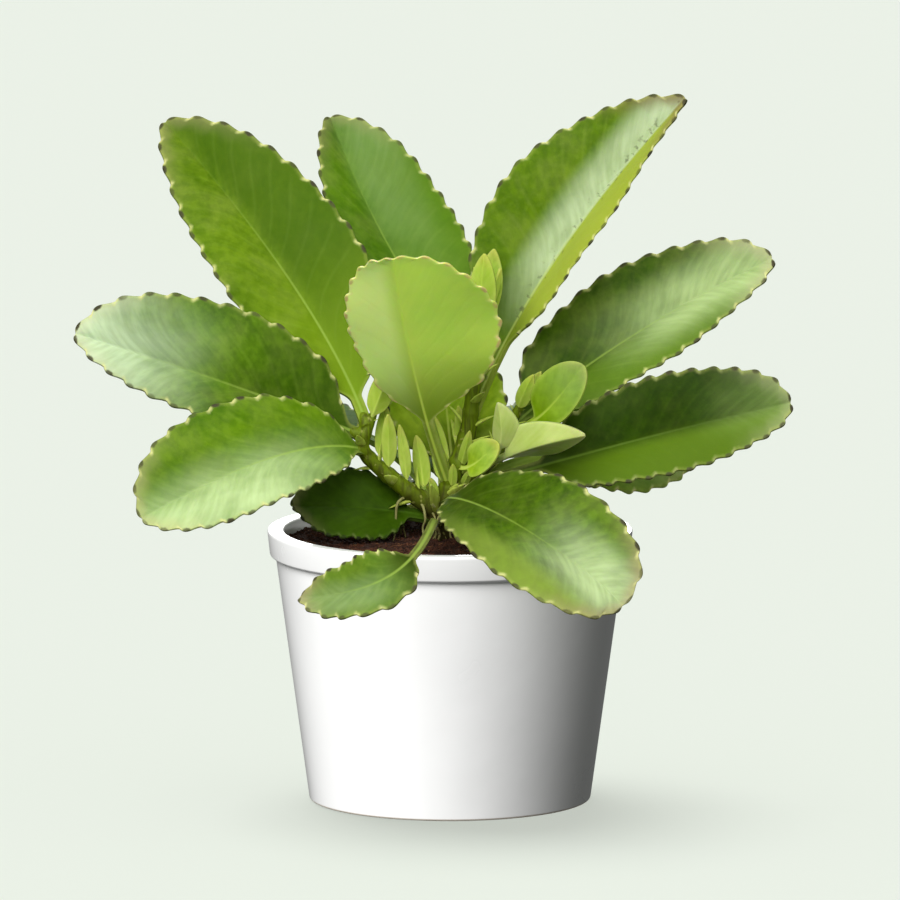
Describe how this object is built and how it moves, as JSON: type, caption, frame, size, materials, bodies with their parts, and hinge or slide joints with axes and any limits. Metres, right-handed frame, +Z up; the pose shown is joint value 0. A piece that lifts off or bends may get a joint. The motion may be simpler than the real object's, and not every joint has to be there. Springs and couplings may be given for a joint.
{
  "type": "potted kalanchoe",
  "caption": "Fleshy-leaved houseplant with crenate oval leaves on a short forked stem, growing in dark peat in a tapered white glazed pot with a raised rim band.",
  "frame": {"origin": "centre of the pot's flat base, on the ground it rests on", "axes": "+Z up along the pot's axis; -Y towards the front, the side the picture shows; +X to the right of that view"},
  "size_m": [0.2552, 0.1829, 0.2505],
  "materials": {
    "glaze": "gloss white glaze",
    "peat": "matt, crumbly",
    "stem_bark": "satin, green at the top and brown at the foot",
    "young_leaf": "satin",
    "leaf_green": "satin",
    "leaf_frosted": "satin with a pale waxy bloom",
    "leaf_dark": "satin",
    "leaf_lime": "satin",
    "leaf_pale": "satin"
  },
  "bodies": {
    "root": {"pot": "glaze", "soil": "peat", "stem": "stem_bark", "shoot_tip_middle": "young_leaf", "shoot_tip_left": "young_leaf", "shoot_tip_right": "young_leaf", "leaf_left_tall": "leaf_green", "leaf_back_tall": "leaf_green", "leaf_right_tall": "leaf_green", "leaf_right_high": "leaf_frosted", "leaf_right_low": "leaf_frosted", "leaf_under_right": "leaf_dark", "leaf_front_right": "leaf_frosted", "leaf_front_middle": "leaf_lime", "leaf_left_high": "leaf_frosted", "leaf_left_low": "leaf_frosted", "leaf_shade_left": "leaf_dark", "leaf_over_rim": "leaf_frosted", "leaf_inner": "leaf_dark", "leaf_rear_high": "leaf_green", "leaf_rear_left": "leaf_green", "leaf_rear_right": "leaf_green", "leaf_rear_low": "leaf_green", "leaf_rear_rim": "leaf_green", "small_leaf_ovate": "young_leaf", "small_leaf_boat": "leaf_pale", "small_leaf_lime": "young_leaf"}
  },
  "joints": []
}
